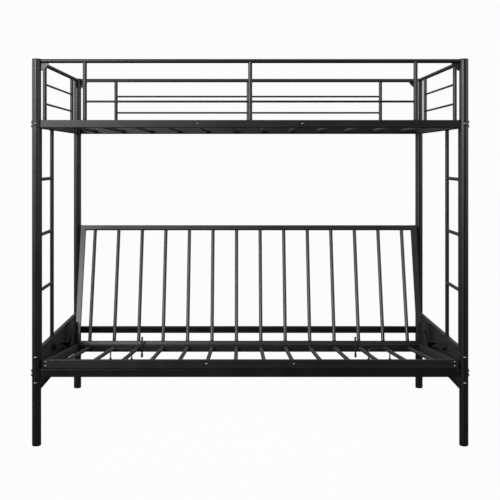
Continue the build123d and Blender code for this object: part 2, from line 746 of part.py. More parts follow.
glide_outer_x = panel_face_x - PANEL_SHEET - TRACK_WEB - TRACK_END_PLAY


def stop_peg(side_x):
    """A peg on the inner face of an ear: it stops the back from tipping forwards over the seat."""
    front = hinge_u - EAR_FOOT_LENGTH + EAR_REAR_MARGIN
    crest_front = hinge_u - EAR_CORNER - EAR_CREST
    v = SEAT_RAIL_HEIGHT + (EAR_HEIGHT - SEAT_RAIL_HEIGHT) * peg_height_share
    u = front + (crest_front - front) * peg_height_share + STOP_PEG
    root_x = side_x * (futon_half_width - WELD_GAP)
    tip_x = root_x - side_x * STOP_PEG_REACH
    return seat_plane * round_bar((tip_x, u, v), (root_x, u, v), STOP_PEG)


def hinge_pin(side_x):
    """The hinge pin: headed inside, through the back's side tube and the ear, its tip in the glide."""
    head_x = futon_half_width - BACK_TUBE - 2 * SLIDING_GAP
    pin = hinge_bar(side_x, head_x, glide_outer_x, HINGE_PIN)
    pin += hinge_bar(side_x, head_x - HINGE_HEAD_HEIGHT, head_x, HINGE_HEAD_DIAMETER)
    return seat_plane * pin


def guide_glide(side_x):
    """A nylon bush on the pin's tip that runs in the guide track."""
    inner_face = glide_outer_x - GLIDE_LENGTH
    glide = hinge_bar(side_x, inner_face, glide_outer_x, GLIDE_DIAMETER)
    bore = hinge_bar(side_x, inner_face - OVERRUN, glide_outer_x + OVERRUN, HINGE_PIN + 2 * RUNNING_PLAY)
    return seat_plane * (glide - bore)


def mattress_hoop(side_x):
    """A bent rod hoop that stands on the seat's front rail and keeps the mattress back."""
    x = side_x * hoop_x
    half = HOOP_WIDTH / 2
    base = SEAT_RAIL_HEIGHT + WELD_GAP
    top = base + HOOP_HEIGHT
    path = FilletPolyline((-half, base), (-half, top), (half, top), (half, base), radius=HOOP_BEND)
    upright = Plane(origin=(x, SEAT_RAIL_WIDTH / 2, 0), x_dir=(1, 0, 0), z_dir=(0, -1, 0))
    wire = upright * path
    section = Plane(origin=wire @ 0, z_dir=wire % 0) * Circle(HOOP_ROD / 2)
    return seat_plane * sweep(section, path=wire)


def hoop_collars(side_x):
    collars = []
    for side in SIDES:
        x = side_x * hoop_x + side * HOOP_WIDTH / 2
        base = SEAT_RAIL_HEIGHT + WELD_GAP
        collar = round_tube(
            (x, SEAT_RAIL_WIDTH / 2, base),
            (x, SEAT_RAIL_WIDTH / 2, base + COLLAR_HEIGHT),
            COLLAR_DIAMETER,
            (COLLAR_DIAMETER - HOOP_ROD) / 2 - WELD_GAP,
        )
        collars.append(seat_plane * collar)
    return collars


clip_u = SEAT_LENGTH - SEAT_RAIL_WIDTH - WELD_GAP - CLIP_ROD / 2


def mattress_clip(side_x):
    """A bent rod on the front face of the rear rail, hooked forwards at its top."""
    x = side_x * clip_x
    low = -CLIP_BELOW_RAIL
    high = SEAT_RAIL_HEIGHT + CLIP_ABOVE_RAIL
    path = FilletPolyline((clip_u, low), (clip_u, high), (clip_u - CLIP_HOOK, high), radius=CLIP_HOOK / 2)
    upright = Plane(origin=(x, 0, 0), x_dir=(0, 1, 0), z_dir=(1, 0, 0))
    wire = upright * path
    section = Plane(origin=wire @ 0, z_dir=wire % 0) * Circle(CLIP_ROD / 2)
    return seat_plane * sweep(section, path=wire)


def clip_tip(side_x):
    """A rubber tip over the lower end of a clip."""
    x = side_x * clip_x
    low = -CLIP_BELOW_RAIL - TIP_DIAMETER / 2
    tip = round_bar((x, clip_u, low), (x, clip_u, low + TIP_LENGTH), TIP_DIAMETER)
    hole_floor, hole_top = -CLIP_BELOW_RAIL - WELD_GAP, low + TIP_LENGTH + OVERRUN
    hole = round_bar((x, clip_u, hole_floor), (x, clip_u, hole_top), CLIP_ROD + 2 * WELD_GAP)
    return seat_plane * (tip - hole)


back_rail_x = futon_half_width - SLIDING_GAP - BACK_TUBE / 2
back_low_w = HINGE_TO_BACK_RAIL
back_high_w = post_y + BACK_REACH - track_high[0]


def back_cross_rail(w):
    end_x = back_rail_x - BACK_TUBE / 2 - WELD_GAP
    rail = box_tube((-end_x, w, 0), (end_x, w, 0), BACK_TUBE, BACK_TUBE, FUTON_WALL, FUTON_CORNER)
    return back_plane * rail


def back_side_rail(side_x):
    """A side tube of the back: its foot is rounded about the hinge pin and bored for it."""
    x = side_x * back_rail_x
    end_w = back_high_w + BACK_TUBE / 2
    outline = make_face(
        Polyline((0, -BACK_TUBE / 2), (end_w, -BACK_TUBE / 2), (end_w, BACK_TUBE / 2), (0, BACK_TUBE / 2))
        + ThreePointArc((0, BACK_TUBE / 2), (-BACK_TUBE / 2, 0), (0, -BACK_TUBE / 2))
    )
    half = BACK_TUBE / 2
    plane = Plane(origin=(x, 0, 0), x_dir=(0, 1, 0), z_dir=(1, 0, 0))
    rail = extrude(plane * outline, amount=half, both=True)
    hollow = block(
        (x - half + FUTON_WALL, BACK_TUBE / 2, -half + FUTON_WALL),
        (x + half - FUTON_WALL, end_w - FUTON_WALL, half - FUTON_WALL),
    )
    rail -= hollow
    rail -= round_bar((x - BACK_TUBE, 0, 0), (x + BACK_TUBE, 0, 0), HINGE_PIN + 2 * RUNNING_PLAY)
    return back_plane * rail


def back_spindles():
    start = back_low_w + BACK_TUBE / 2 + WELD_GAP
    end = back_high_w - BACK_TUBE / 2 - WELD_GAP
    return [
        back_plane * round_tube((x, start, 0), (x, end, 0), SLAT_DIAMETER, SLAT_WALL)
        for x in futon_slat_places
    ]


def rest_pads():
    """Round rubber buffers behind the back's side tubes: they carry the back on its stretcher when flat."""
    flat_z = seat_point(hinge_u, hinge_v, SEAT_TRAVEL)[1]
    landing_w = post_y - track_high[0]
    root = -BACK_TUBE / 2 - WELD_GAP
    tip = stretcher_top + SLIDING_GAP - flat_z
    places = [side * back_rail_x for side in SIDES]
    return [back_plane * round_bar((x, landing_w, root), (x, landing_w, tip), PAD_DIAMETER) for x in places]


def main():
    os.makedirs("parts", exist_ok=True)
    row_names = {-1: "front", 1: "back"}
    for side_x in SIDES:
        for side_y in SIDES:
            save(post(side_x, side_y), f"post_{row_names[side_y]}_{side_name(side_x)}")
    corners = [(side_x * post_x, side_y * post_y) for side_x in SIDES for side_y in SIDES]
    save([post_cap(x, y, False) for x, y in corners], "post_top_caps")
    save([post_cap(x, y, True) for x, y in corners], "foot_caps")

    for side_y in SIDES:
        row = row_names[side_y]
        save(long_rail(side_y, upper_rail_level, (-bolted_slat_x, bolted_slat_x)), f"upper_{row}_rail")
        save(long_rail(side_y, STRETCHER_LEVEL, ()), f"{row}_stretcher")
        top, uprights, mids = side_guard(side_y)
        save(top, f"{row}_guard_top_rail")
        save(uprights, f"{row}_guard_uprights")
        save(mids, f"{row}_guard_mid_rails")
    save(upper_slats(), "upper_slats")
    save(upper_slat_bolts(), "upper_slat_bolts")

    end_tops, end_uprights, end_mids = [], [], []
    for side_x in SIDES:
        name = side_name(side_x)
        save(cross_rail(side_x, upper_rail_level), f"upper_end_rail_{name}")
        top, uprights, mids = end_guard(side_x)
        end_tops.append(top)
        end_uprights += uprights
        end_mids += mids
        save(ladder_rails(side_x), f"ladder_rails_{name}")
        save(ladder_rungs(side_x), f"ladder_rungs_{name}")
        save(side_panel(side_x), f"side_panel_{name}")
        save(guide_track(side_x), f"guide_track_{name}")
    save(end_tops, "end_guard_top_rails")
    save(end_uprights, "end_guard_uprights")
    save(end_mids, "end_guard_mid_rails")
    gussets = [
        corner_gusset(side_x, side_y, along_x)
        for side_x in SIDES
        for side_y in SIDES
        for along_x in (True, False)
    ]
    save(gussets, "guard_corner_gussets")

    save(post_bolts(end_bolt_heights(upper_rail_level, RAIL_BOLT_SPREAD), "x"), "upper_rail_bolts")
    save(post_bolts(end_bolt_heights(STRETCHER_LEVEL, RAIL_BOLT_SPREAD), "x"), "stretcher_bolts")
    save(post_bolts([upper_rail_level], "y"), "end_rail_bolts")
    save(post_bolts(end_bolt_heights(PANEL_LEVEL, PANEL_BOLT_SPREAD), "y"), "side_panel_bolts")

    save([saddle_bracket(x) for x in saddle_places()], "saddle_brackets")
    save([saddle_pin(x) for x in saddle_places()], "saddle_pins")
    save([rail_saddle(x) for x in saddle_places()], "rail_saddles")

    save(seat_cross_rail(SEAT_RAIL_WIDTH / 2, front_rail_drop), "seat_front_rail")
    save(seat_cross_rail(SEAT_LENGTH - SEAT_RAIL_WIDTH / 2), "seat_rear_rail")
    save([seat_side_rail(side) for side in SIDES], "seat_side_rails")
    save(seat_slats(), "seat_slats")
    save([seat_end_tab(side) for side in SIDES], "seat_end_tabs")
    save(seat_end_bolts(), "seat_end_bolts")
    save(seat_slat_bolts(), "seat_slat_bolts")
    save([hinge_ear(side) for side in SIDES], "hinge_ears")
    save([stop_peg(side) for side in SIDES], "stop_pegs")
    save([hinge_pin(side) for side in SIDES], "hinge_pins")
    save([guide_glide(side) for side in SIDES], "guide_glides")
    save([mattress_hoop(side) for side in SIDES], "mattress_hoops")
    save([collar for side in SIDES for collar in hoop_collars(side)], "hoop_collars")
    save([mattress_clip(side) for side in SIDES], "mattress_clips")
    save([clip_tip(side) for side in SIDES], "clip_tips")

    save(back_cross_rail(back_low_w), "back_bottom_rail")
    save(back_cross_rail(back_high_w), "back_top_rail")
    save([back_side_rail(side) for side in SIDES], "back_side_rails")
    save(back_spindles(), "back_spindles")
    save(rest_pads(), "rest_pads")

    print("hinge at rest", round(hinge_y, 3), round(hinge_z, 3))
    print("saddle pin", round(pivot_y, 3), round(pivot_z, 3))
    print("slide axis", 0, round(-math.cos(tilt), 6), round(math.sin(tilt), 6))


main()
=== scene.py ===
# %% [markdown]
# # A futon bunk bed in satin black steel
# The bed is a bare frame: round posts, rectangular rails, rows of round slats, and under them a seat and
# back that fold flat. These cells give each piece its finish, add the rubber coat of the clips, the welds
# and the sockets of the bolts, and set up the picture.

import json
import math

import bmesh
import bpy
import numpy as np
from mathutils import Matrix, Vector


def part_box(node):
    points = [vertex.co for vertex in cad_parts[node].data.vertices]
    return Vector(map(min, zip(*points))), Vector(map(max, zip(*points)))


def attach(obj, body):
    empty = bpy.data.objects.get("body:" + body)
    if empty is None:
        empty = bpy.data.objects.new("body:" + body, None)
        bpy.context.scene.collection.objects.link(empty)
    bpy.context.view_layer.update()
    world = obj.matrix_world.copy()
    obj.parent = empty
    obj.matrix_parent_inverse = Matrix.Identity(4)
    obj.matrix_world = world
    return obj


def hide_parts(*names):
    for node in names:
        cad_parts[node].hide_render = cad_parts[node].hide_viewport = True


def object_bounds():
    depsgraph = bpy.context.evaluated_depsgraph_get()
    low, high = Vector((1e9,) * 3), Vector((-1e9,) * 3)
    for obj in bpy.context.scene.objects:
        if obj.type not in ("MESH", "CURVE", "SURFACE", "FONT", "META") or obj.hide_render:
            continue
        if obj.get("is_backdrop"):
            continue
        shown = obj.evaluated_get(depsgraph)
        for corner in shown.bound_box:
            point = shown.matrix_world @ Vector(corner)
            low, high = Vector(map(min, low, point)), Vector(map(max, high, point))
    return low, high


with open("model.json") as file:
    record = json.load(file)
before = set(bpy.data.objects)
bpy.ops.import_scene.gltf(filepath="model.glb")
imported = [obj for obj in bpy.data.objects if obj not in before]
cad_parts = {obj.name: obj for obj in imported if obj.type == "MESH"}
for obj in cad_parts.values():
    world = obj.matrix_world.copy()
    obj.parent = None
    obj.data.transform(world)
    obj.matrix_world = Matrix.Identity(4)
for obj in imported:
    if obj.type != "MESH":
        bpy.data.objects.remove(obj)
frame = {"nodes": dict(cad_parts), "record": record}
loaded_low, loaded_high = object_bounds()
print("size of the bed in metres:", [round(side, 3) for side in loaded_high - loaded_low])

# %% [markdown]
# ## Find the separate solids of a group
# One object holds a whole row of slats or bolts, as loose triangles. Before anything can be placed at the
# end of a tube, the tubes have to be told apart. The cell below joins matching corners in a copy, then
# walks from corner to corner along the edges, so that each walk collects one solid.


# %% Separate solids of a group
merge_distance = 1e-6


def merged_copy(node):
    """A bmesh of a CAD node with its matching corners joined."""
    mesh = bmesh.new()
    mesh.from_mesh(frame["nodes"][node].data)
    bmesh.ops.remove_doubles(mesh, verts=mesh.verts, dist=merge_distance)
    mesh.verts.ensure_lookup_table()
    return mesh


def solids(node):
    """The corners of each separate solid of a CAD node, as arrays of points in metres."""
    mesh = merged_copy(node)
    found, seen = [], set()
    for first in mesh.verts:
        if first.index in seen:
            continue
        seen.add(first.index)
        queue, corners = [first], []
        while queue:
            vertex = queue.pop()
            corners.append(tuple(vertex.co))
            for edge in vertex.link_edges:
                other = edge.other_vert(vertex)
                if other.index not in seen:
                    seen.add(other.index)
                    queue.append(other)
        found.append(np.array(corners))
    mesh.free()
    return found


print("upper slats:", len(solids("upper_slats")), "back spindles:", len(solids("back_spindles")))

# %% [markdown]
# ## Where a tube ends
# A bounding box would give the ends of an upright tube, but the seat and the back lean. So the long
# direction of each solid is measured from its own corners: a singular value decomposition finds the
# direction in which they spread most, and the corners that lie furthest along it, one way and the other,
# are the two end rings.


# %% Ends of the tubes
end_margin = 0.0008


def long_direction(corners):
    """The middle of a solid's corners and the direction in which they spread most."""
    centre = corners.mean(0)
    return centre, np.linalg.svd(corners - centre, full_matrices=False)[2][0]


def tube_ends(node):
    """For each tube of a node: the middle of each end, and the direction that points out of that end."""
    ends = []
    for corners in solids(node):
        centre, direction = long_direction(corners)
        along = (corners - centre) @ direction
        for sign in (-1, 1):
            ring = corners[sign * along > (sign * along).max() - end_margin]
            middle = centre + direction * ((ring - centre) @ direction).mean()
            ends.append((Vector(middle), Vector(sign * direction)))
    return ends


print("upper slat ends:", len(tube_ends("upper_slats")), "first at", tube_ends("upper_slats")[0][0])

# %% [markdown]
# ## Helpers for materials
# Each finish is a Principled shader with a little variation driven by noise on Object coordinates. The
# bed's pieces keep their place in their vertices, so Object coordinates are metres in the room and one
# pattern runs evenly over every piece. Constant values are typed on the shader's own sockets, where they
# survive export.


# %% Material helpers
def link(tree, source, output, target, socket):
    """Wire an output of one node to a socket of another, both by name or number."""
    tree.links.new(source.outputs[output], target.inputs[socket])


def plain_shader(name, roughness, metallic=0.0, specular=0.5):
    """A material with one Principled shader, and its node tree."""
    material = bpy.data.materials.new(name)
    material.use_nodes = True
    shader = material.node_tree.nodes["Principled BSDF"]
    shader.inputs["Roughness"].default_value = roughness
    shader.inputs["Metallic"].default_value = metallic
    shader.inputs["Specular IOR Level"].default_value = specular
    return material, material.node_tree, shader


def noise_on_object(tree, scale, detail):
    """A noise texture on the object's own coordinates, with its scale in ripples to the metre."""
    place = tree.nodes.new("ShaderNodeTexCoord")
    noise = tree.nodes.new("ShaderNodeTexNoise")
    noise.inputs["Scale"].default_value = scale
    noise.inputs["Detail"].default_value = detail
    link(tree, place, "Object", noise, "Vector")
    return noise


print("material helpers: shader and noise")

# %% [markdown]
# Three short helpers then use the noise: for the colour, for the roughness and for the height of a fine
# grain. Noise seldom reaches its ends, so the colours are already full at the two levels named first.


# %% Colour, roughness and grain from noise
all_dark, all_light = 0.35, 0.65


def colour_between(tree, noise, dark, light, shader):
    """Blend two colours by the noise, into the shader's base colour."""
    ramp = tree.nodes.new("ShaderNodeValToRGB")
    ramp.color_ramp.elements[0].position = all_dark
    ramp.color_ramp.elements[0].color = (*dark, 1)
    ramp.color_ramp.elements[1].position = all_light
    ramp.color_ramp.elements[1].color = (*light, 1)
    link(tree, noise, "Fac", ramp, "Fac")
    link(tree, ramp, "Color", shader, "Base Color")


def roughness_between(tree, noise, low, high, shader):
    """Let the roughness wander between two values with the noise, and hand back the node that does it."""
    span = tree.nodes.new("ShaderNodeMapRange")
    span.inputs["To Min"].default_value = low
    span.inputs["To Max"].default_value = high
    link(tree, noise, "Fac", span, "Value")
    link(tree, span, "Result", shader, "Roughness")
    return span


def bumps(tree, noise, depth, shader):
    """Raise the surface by the noise: depth is the height of the grain in metres."""
    bump = tree.nodes.new("ShaderNodeBump")
    bump.inputs["Strength"].default_value = 1.0
    bump.inputs["Distance"].default_value = depth
    link(tree, noise, "Fac", bump, "Height")
    link(tree, bump, "Normal", shader, "Normal")


print("material helpers: colour, roughness and grain")

# %% [markdown]
# ## Satin black powder coat
# Powder is sprayed dry on the steel and baked until it flows. It ends up black with a soft shine and a very
# fine orange peel, about a millimetre across and a thousandth of that high. A glossy clear coat would give
# the mirror lines of wet paint, so the shine stays in the base layer: middle roughness that wanders
# slightly from place to place, and two blacks so close that only a strong light tells them apart. Seen edge
# on, the peel scatters the reflection, so a Layer Weight node adds roughness there and the tubes keep their
# dark edges against a white room.


# %% Powder coat
edge_start, edge_end = 0.35, 0.9
edge_roughness = 0.35
peel_scale = 650
peel_height = 0.0000015


def rougher_edges(tree, span, shader):
    """Add roughness where the surface is seen edge on, in place of the plain span."""
    facing = tree.nodes.new("ShaderNodeLayerWeight")
    facing.inputs["Blend"].default_value = 0.5
    edge = tree.nodes.new("ShaderNodeMapRange")
    edge.interpolation_type = "SMOOTHSTEP"
    edge.inputs["From Min"].default_value = edge_start
    edge.inputs["From Max"].default_value = edge_end
    edge.inputs["To Min"].default_value = 0.0
    edge.inputs["To Max"].default_value = edge_roughness
    total = tree.nodes.new("ShaderNodeMath")
    total.operation = "ADD"
    link(tree, facing, "Facing", edge, "Value")
    link(tree, span, "Result", total, 0)
    link(tree, edge, "Result", total, 1)
    link(tree, total, "Value", shader, "Roughness")


def powder_coat():
    material, tree, shader = plain_shader("satin_black_powder_coat", roughness=0.33, specular=0.15)
    clouds = noise_on_object(tree, scale=9, detail=3)
    colour_between(tree, clouds, (0.0018, 0.0018, 0.0019), (0.003, 0.003, 0.0031), shader)
    span = roughness_between(tree, clouds, 0.3, 0.36, shader)
    rougher_edges(tree, span, shader)
    peel = noise_on_object(tree, scale=peel_scale, detail=2)
    bumps(tree, peel, peel_height, shader)
    return material


satin_black = powder_coat()
print("made", satin_black.name)

# %% [markdown]
# ## Blackened bolts
# The bolts are steel with a black oxide skin: metal underneath, so they shine brighter and tighter than the
# powder coat around them. Making them metallic with a dark colour gives each domed head its small hard
# highlight.


# %% Bolt finish
def black_oxide():
    material, tree, shader = plain_shader("black_oxide_steel", roughness=0.2, metallic=1.0)
    streaks = noise_on_object(tree, scale=120, detail=3)
    colour_between(tree, streaks, (0.035, 0.035, 0.036), (0.065, 0.065, 0.067), shader)
    roughness_between(tree, streaks, 0.16, 0.26, shader)
    return material


bolt_black = black_oxide()
print("made", bolt_black.name)

# %% [markdown]
# ## Zinc, plastic, nylon and rubber
# The pins and pegs are zinc plated and show a pale, slightly cloudy metal. The plugs in the posts are
# moulded plastic with a fine grain, the glides and saddles are dense nylon, and the buffers and clip tips
# are dull rubber.


# %% Small finishes
plastic_grain = 0.00003
rubber_grain = 0.00006


def zinc_plate():
    material, tree, shader = plain_shader("zinc_plated_steel", roughness=0.32, metallic=1.0)
    spangle = noise_on_object(tree, scale=260, detail=2)
    colour_between(tree, spangle, (0.34, 0.35, 0.36), (0.5, 0.51, 0.52), shader)
    roughness_between(tree, spangle, 0.26, 0.4, shader)
    return material


def moulded_plastic():
    material, tree, shader = plain_shader("moulded_black_plastic", roughness=0.6, specular=0.12)
    grain = noise_on_object(tree, scale=1400, detail=2)
    colour_between(tree, grain, (0.004, 0.004, 0.0042), (0.007, 0.007, 0.0072), shader)
    bumps(tree, grain, plastic_grain, shader)
    return material


def glide_nylon():
    material, tree, shader = plain_shader("glide_nylon", roughness=0.42, specular=0.4)
    flow = noise_on_object(tree, scale=60, detail=3)
    colour_between(tree, flow, (0.012, 0.012, 0.0125), (0.02, 0.02, 0.0205), shader)
    roughness_between(tree, flow, 0.38, 0.5, shader)
    return material


def dull_rubber():
    material, tree, shader = plain_shader("dull_rubber", roughness=0.75, specular=0.15)
    bloom = noise_on_object(tree, scale=340, detail=4)
    colour_between(tree, bloom, (0.004, 0.004, 0.004), (0.008, 0.008, 0.008), shader)
    bumps(tree, bloom, rubber_grain, shader)
    return material


finishes = {
    "black_powder_coat": satin_black,
    "bolts": bolt_black,
    "zinc_steel": zinc_plate(),
    "black_plastic": moulded_plastic(),
    "nylon": glide_nylon(),
    "rubber": dull_rubber(),
}
print("finishes:", sorted(finishes))

# %% [markdown]
# ## Dress the frame's own pieces
# The record says which finish each piece has, so one loop is enough, and a piece that is added to the bed
# later gets the right finish by itself.

# %% Finish every piece
for part in frame["record"]["subparts"]:
    piece = frame["nodes"][part["node"]]
    piece.data.materials.clear()
    piece.data.materials.append(finishes[part["material_slot"]])

# %% [markdown]
# ## Dipped coat of the mattress clips
# The clips are bent wire with rubber tips. On the real bed wire and tip were dipped in liquid rubber, which
# leaves a thick soft skin, thicker still round the tip and bare where the wire lies against the rail behind
# it. The skin follows the shape under it, so the clip's own mesh is copied and its corners are moved out
# along their normals, by less and less the more a normal points back to the rail.


# %% Dipped coat
wire_skin = 0.0026
tip_skin = 0.003
crease_angle = 40


def dipped_coat(name, node, thickness):
    """A skin over a CAD node, as thick as given, that rides on the seat."""
    mesh = merged_copy(node)
    bmesh.ops.recalc_face_normals(mesh, faces=mesh.faces)
    mesh.normal_update()
    shifts = [vertex.normal * thickness * (1 - max(vertex.normal.y, 0)) for vertex in mesh.verts]
    for vertex, shift in zip(mesh.verts, shifts):
        vertex.co += shift
    data = bpy.data.meshes.new(name)
    mesh.to_mesh(data)
    mesh.free()
    data.shade_smooth()
    data.set_sharp_from_angle(angle=math.radians(crease_angle))
    data.materials.append(finishes["rubber"])
    coat = bpy.data.objects.new(name, data)
    bpy.context.scene.collection.objects.link(coat)
    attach(coat, "futon_seat")
    print(name, "with", len(data.polygons), "faces,", thickness * 1000, "mm thick")


dipped_coat("dipped_coat_of_clips", "mattress_clips", wire_skin)
dipped_coat("dipped_coat_of_tips", "clip_tips", tip_skin)

# %% [markdown]
# ## Geometry Nodes: a tree and its points
# Welds and bolts repeat many times, so a node tree makes one and places it on points. The points are the
# vertices of a tiny mesh, and each one carries an outward direction as an attribute. A tree has named
# inputs, so that one tree serves every size of tube and bolt.


# %% Node trees and point meshes
def new_tree(name, inputs):
    """A Geometry Nodes tree with a geometry input, the named inputs and a geometry output."""
    tree = bpy.data.node_groups.new(name, "GeometryNodeTree")
    tree.interface.new_socket("Geometry", in_out="INPUT", socket_type="NodeSocketGeometry")
    for label, kind in inputs:
        tree.interface.new_socket(label, in_out="INPUT", socket_type=kind)
    tree.interface.new_socket("Geometry", in_out="OUTPUT", socket_type="NodeSocketGeometry")
    return tree, tree.nodes.new("NodeGroupInput"), tree.nodes.new("NodeGroupOutput")


def point_mesh(name, places):
    """An object whose vertices are the given points, each with its outward direction."""
    mesh = bpy.data.meshes.new(name)
    mesh.from_pydata([point for point, _ in places], [], [])
    outward = mesh.attributes.new("outward", "FLOAT_VECTOR", "POINT")
    outward.data.foreach_set("vector", [value for _, direction in places for value in direction])
    points = bpy.data.objects.new(name, mesh)
    bpy.context.scene.collection.objects.link(points)
    return points


print("tree helpers: new_tree and point_mesh")

# %% [markdown]
# ## Geometry Nodes: place a piece on the points
# Welds and bolts share the last part of their trees. Align Rotation to Vector turns the piece's Z axis to
# the outward direction, a random turn about that axis keeps the copies from looking stamped, and Instance
# on Points sets one copy on each point. Realize Instances then makes them real faces, which the export
# needs.


# %% Aim, spin and place
def float_socket(sockets, name):
    """The socket of that name that takes a plain number."""
    return next(socket for socket in sockets if socket.name == name and socket.type == "VALUE")


def place_on_points(tree, start, end, piece, largest_turn):
    """Finish a tree: set the piece on every point, aimed outwards and turned at random."""
    add = tree.nodes.new
    outward = add("GeometryNodeInputNamedAttribute")
    outward.data_type = "FLOAT_VECTOR"
    outward.inputs["Name"].default_value = "outward"
    aim = add("FunctionNodeAlignRotationToVector")
    aim.axis = "Z"
    spin = add("FunctionNodeRandomValue")
    spin.data_type = "FLOAT"
    float_socket(spin.inputs, "Min").default_value = 0.0
    float_socket(spin.inputs, "Max").default_value = largest_turn
    turn = add("FunctionNodeAxisAngleToRotation")
    turned = add("FunctionNodeRotateRotation")
    turned.rotation_space = "LOCAL"
    place = add("GeometryNodeInstanceOnPoints")
    realise = add("GeometryNodeRealizeInstances")
    paint = add("GeometryNodeSetMaterial")
    link(tree, outward, "Attribute", aim, "Vector")
    link(tree, start, "Seed", spin, "Seed")
    tree.links.new(float_socket(spin.outputs, "Value"), turn.inputs["Angle"])
    link(tree, aim, "Rotation", turned, "Rotation")
    link(tree, turn, "Rotation", turned, "Rotate By")
    link(tree, start, "Geometry", place, "Points")
    tree.links.new(piece, place.inputs["Instance"])
    link(tree, turned, "Rotation", place, "Rotation")
    link(tree, place, "Instances", realise, "Geometry")
    link(tree, realise, "Geometry", paint, "Geometry")
    link(tree, start, "Finish", paint, "Material")
    link(tree, paint, "Geometry", end, "Geometry")


print("tree helper: place_on_points")

# %% [markdown]
# ## Geometry Nodes: run a tree
# The modifier's inputs are set by each socket's identifier.


# %% Run a tree
def run_tree(points, tree, values, body):
    """Run a tree on the points, keep the result as a plain mesh and let it ride on a body."""
    modifier = points.modifiers.new("nodes", "NODES")
    modifier.node_group = tree
    sockets = {item.name: item.identifier for item in tree.interface.items_tree if item.in_out == "INPUT"}
    for label, value in values.items():
        modifier[sockets[label]] = value
    bpy.context.view_layer.update()
    evaluated = points.evaluated_get(bpy.context.evaluated_depsgraph_get())
    made = bpy.data.meshes.new_from_object(evaluated)
    points.modifiers.clear()
    points.data = made
    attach(points, body)
    print(points.name, "on", body, "-", len(made.polygons), "faces")
    return points


print("tree helper: run_tree")

# %% [markdown]
# ## Welds
# Where a round tube meets a rail, the maker runs a bead of weld round it, and the powder coat then covers
# it. On the real bed the bead is a lumpy ring about two millimetres thick. A torus would be too clean, so a
# circle is swept with a small round section and the surface is then pushed in and out by noise.


# %% Weld bead
bead_segments, section_segments = 28, 6
lump_scale = 420


def weld_bead(tree, start):
    """A ring of weld round a tube, with an uneven surface."""
    add = tree.nodes.new
    ring = add("GeometryNodeCurvePrimitiveCircle")
    ring.inputs["Resolution"].default_value = bead_segments
    section = add("GeometryNodeCurvePrimitiveCircle")
    section.inputs["Resolution"].default_value = section_segments
    sweep = add("GeometryNodeCurveToMesh")
    link(tree, start, "Tube radius", ring, "Radius")
    link(tree, start, "Bead radius", section, "Radius")
    link(tree, ring, "Curve", sweep, "Curve")
    link(tree, section, "Curve", sweep, "Profile Curve")

    ripple = add("ShaderNodeTexNoise")
    ripple.inputs["Scale"].default_value = lump_scale
    ripple.inputs["Detail"].default_value = 1
    centred = add("ShaderNodeMath")
    centred.operation = "SUBTRACT"
    centred.inputs[1].default_value = 0.5
    height = add("ShaderNodeMath")
    height.operation = "MULTIPLY"
    push = add("ShaderNodeVectorMath")
    push.operation = "SCALE"
    lumpy = add("GeometryNodeSetPosition")
    link(tree, ripple, "Fac", centred, 0)
    link(tree, centred, "Value", height, 0)
    link(tree, start, "Lumps", height, 1)
    link(tree, add("GeometryNodeInputNormal"), "Normal", push, 0)
    link(tree, height, "Value", push, "Scale")
    link(tree, sweep, "Mesh", lumpy, "Geometry")
    link(tree, push, "Vector", lumpy, "Offset")
    return lumpy.outputs["Geometry"]


weld_inputs = [
    ("Tube radius", "NodeSocketFloat"),
    ("Bead radius", "NodeSocketFloat"),
    ("Lumps", "NodeSocketFloat"),
    ("Seed", "NodeSocketInt"),
    ("Finish", "NodeSocketMaterial"),
]
weld_rings, weld_start, weld_end = new_tree("weld rings", weld_inputs)
place_on_points(weld_rings, weld_start, weld_end, weld_bead(weld_rings, weld_start), 2 * math.pi)
print("tree:", weld_rings.name, "with", len(weld_rings.nodes), "nodes")

# %% [markdown]
# ## Put the welds where the tubes end
# Every slat, spindle, upright and rung is welded at both ends. The bead sits just inside the end of its
# tube, so the places come from the tubes themselves. Each body gets its own object, so that the welds of
# the seat slide with the seat and those of the back fold with it.


# %% Welds of the slats and spindles
bead_radius = 0.0011
bead_lumps = 0.0009
weld_seed = 4


def thinnest(node):
    """Half of the smallest side of a node's box, which is the radius of a row of level tubes."""
    low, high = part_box(node)
    return min(high - low) / 2


def weld_row(name, nodes, radius, body):
    """Weld rings at both ends of every tube of the nodes."""
    ends = [place for node in nodes for place in tube_ends(node)]
    places = [(point - outward * bead_radius, outward) for point, outward in ends]
    values = {
        "Tube radius": radius,
        "Bead radius": bead_radius,
        "Lumps": bead_lumps,
        "Seed": weld_seed,
        "Finish": satin_black,
    }
    run_tree(point_mesh(name, places), weld_rings, values, body)


slat_radius = thinnest("upper_slats")
print("slat radius in mm:", round(slat_radius * 1000, 2))
weld_row("welds_of_upper_slats", ["upper_slats"], slat_radius, "root")
weld_row("welds_of_seat_slats", ["seat_slats"], slat_radius, "futon_seat")
weld_row("welds_of_back_spindles", ["back_spindles"], slat_radius, "futon_back")

# %% [markdown]
# The guards, ladders and end rails use the same bead with the radius of their own tubes. The back of the
# bed and its two ends have the same welds as its front, so each kind of tube is one row for all four sides.

# %% Welds of the guards and ladders
tube_radius = thinnest("front_guard_top_rail")
rod_radius = thinnest("front_guard_mid_rails")
rung_radius = thinnest("ladder_rungs_left")
upright_nodes = ["front_guard_uprights", "back_guard_uprights", "end_guard_uprights"]
rod_nodes = ["front_guard_mid_rails", "back_guard_mid_rails", "end_guard_mid_rails"]
top_nodes = ["front_guard_top_rail", "back_guard_top_rail", "end_guard_top_rails"]
weld_row("welds_of_guard_uprights", upright_nodes, tube_radius, "root")
weld_row("welds_of_guard_rods", rod_nodes, rod_radius, "root")
weld_row("welds_of_guard_rails", top_nodes, tube_radius, "root")
weld_row("welds_of_ladder_rungs", ["ladder_rungs_left", "ladder_rungs_right"], rung_radius, "root")

